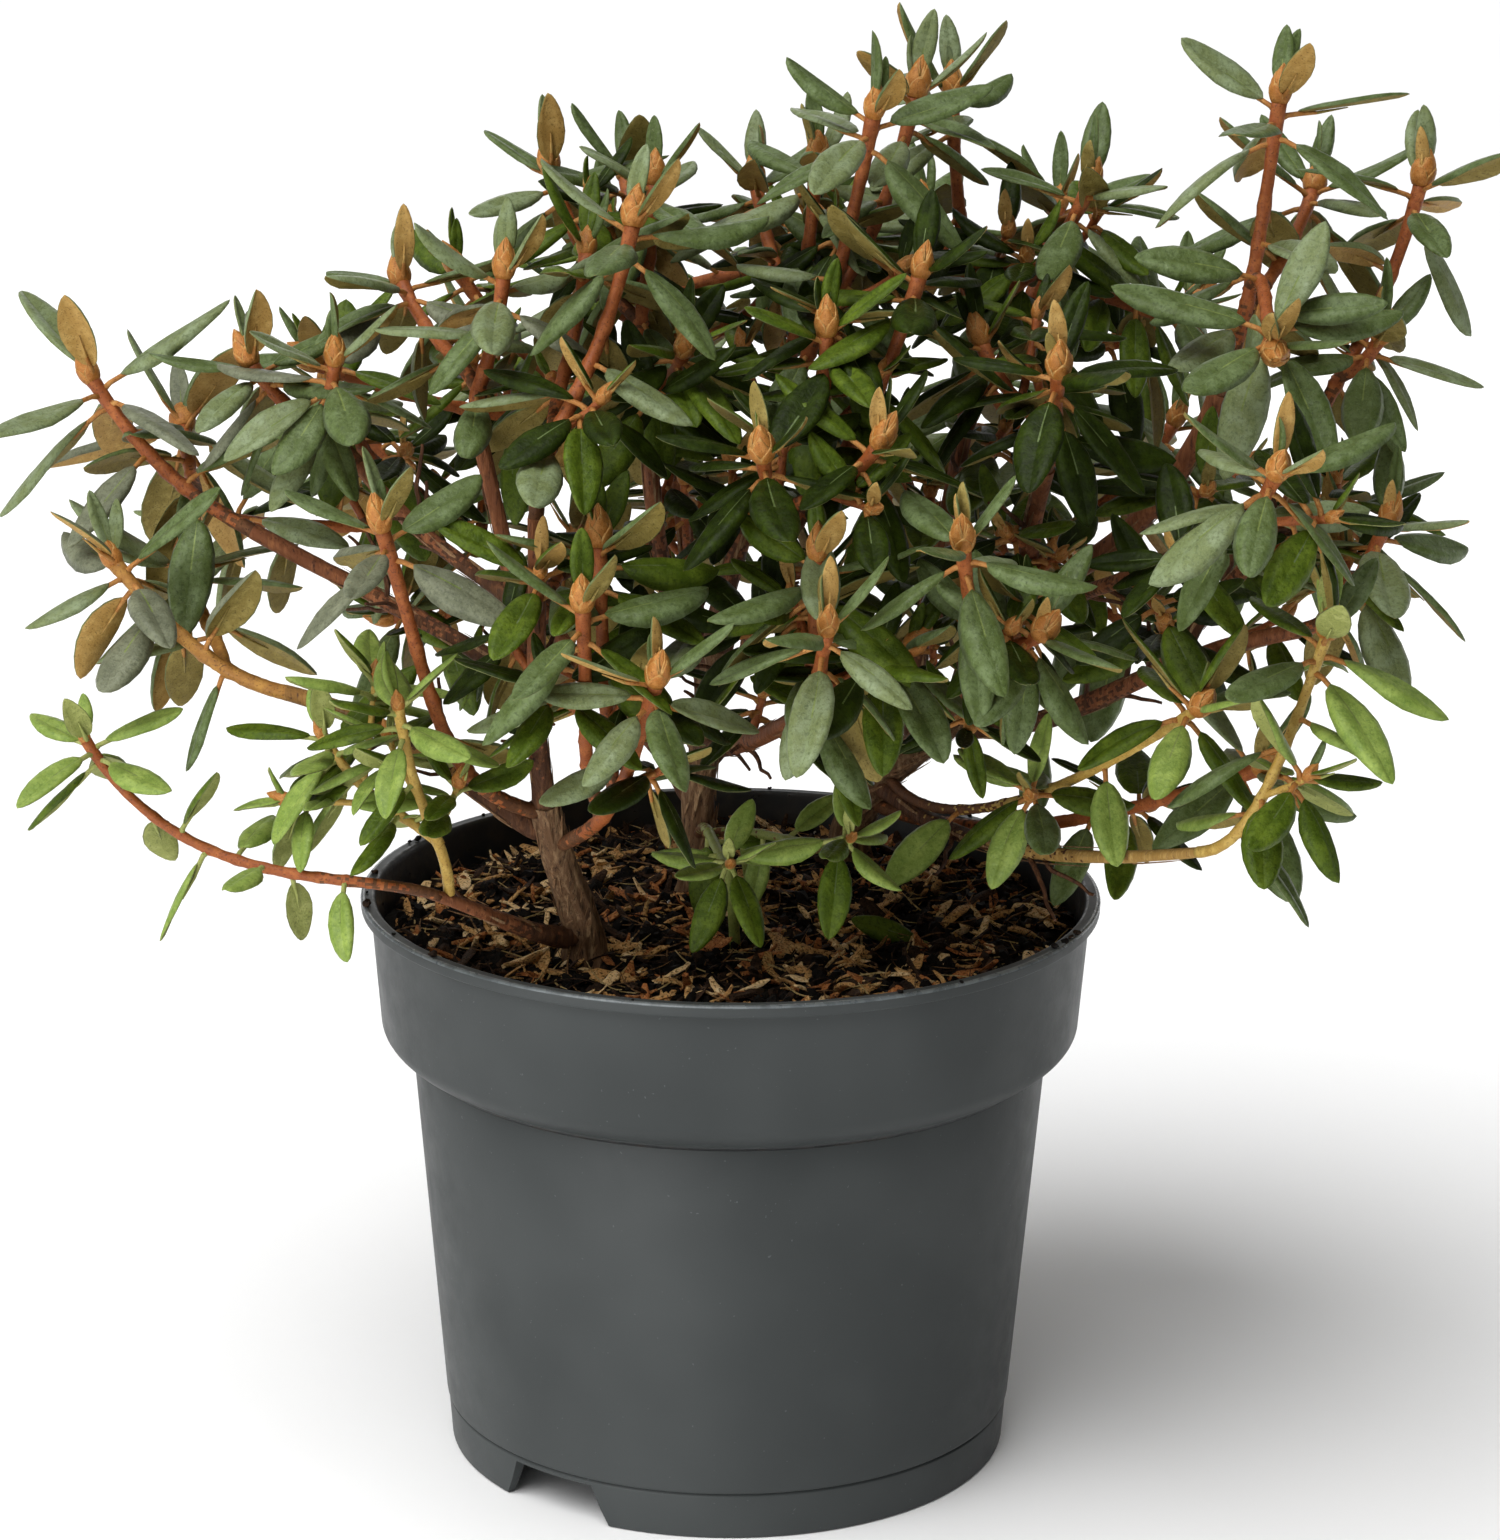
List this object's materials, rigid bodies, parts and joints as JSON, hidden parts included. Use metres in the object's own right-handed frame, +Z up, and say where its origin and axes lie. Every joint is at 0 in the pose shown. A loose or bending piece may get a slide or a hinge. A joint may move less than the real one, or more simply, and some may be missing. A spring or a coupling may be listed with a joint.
{
  "type": "potted dwarf rhododendron",
  "caption": "Dwarf evergreen shrub with whorled oblong leaves and pointed buds, in a round plastic nursery pot of peat; stands on its foot ring.",
  "frame": {"origin": "on the pot's axis at the ground, which is the middle of the plant's box", "axes": "+Z up, -Y towards the side that faces the viewer, +X to that viewer's right"},
  "size_m": [0.3666, 0.2702, 0.3735],
  "materials": {
    "pot_plastic": "satin dark grey moulded plastic with faint scuffs",
    "peat": "rough dark peat with bark chips and fibres",
    "bark": "rough fibrous grey-brown bark, reddish on young wood",
    "foliage": "matt grey-green leaves with tan undersides"
  },
  "bodies": {
    "root": {"bough_back_left": "bark", "bough_back_middle": "bark", "bough_back_right": "bark", "bough_left_crown": "bark", "bough_left_far": "bark", "bough_left_low": "bark", "bough_left_middle": "bark", "bough_left_tall": "bark", "bough_left_up": "bark", "bough_middle_front": "bark", "bough_middle_high": "bark", "bough_middle_left": "bark", "bough_middle_up": "bark", "bough_right_back": "bark", "bough_right_far": "bark", "bough_right_front": "bark", "bough_right_low": "bark", "bough_right_middle": "bark", "bough_right_out": "bark", "bough_right_tall": "bark", "bough_right_up": "bark", "foliage_back_crown": "foliage", "foliage_back_left": "foliage", "foliage_back_left_low": "foliage", "foliage_back_middle": "foliage", "foliage_back_right": "foliage", "foliage_back_right_low": "foliage", "foliage_front_low": "foliage", "foliage_front_tall": "foliage", "foliage_inner_front": "foliage", "foliage_left_crown": "foliage", "foliage_left_far": "foliage", "foliage_left_front": "foliage", "foliage_left_inner": "foliage", "foliage_left_low": "foliage", "foliage_left_middle": "foliage", "foliage_left_whip": "foliage", "foliage_low_front": "foliage", "foliage_middle_front": "foliage", "foliage_middle_high": "foliage", "foliage_middle_upper": "foliage", "foliage_right_arc": "foliage", "foliage_right_back": "foliage", "foliage_right_crown": "foliage", "foliage_right_far": "foliage", "foliage_right_front": "foliage", "foliage_right_inner": "foliage", "foliage_right_low": "foliage", "foliage_right_out": "foliage", "foliage_right_side": "foliage", "foliage_right_tall": "foliage", "foliage_right_upper": "foliage", "foliage_top_front": "foliage", "foliage_top_left": "foliage", "foliage_top_middle": "foliage", "pot": "pot_plastic", "soil": "peat", "trunk_left": "bark", "trunk_middle": "bark", "trunk_right": "bark"}
  },
  "joints": []
}
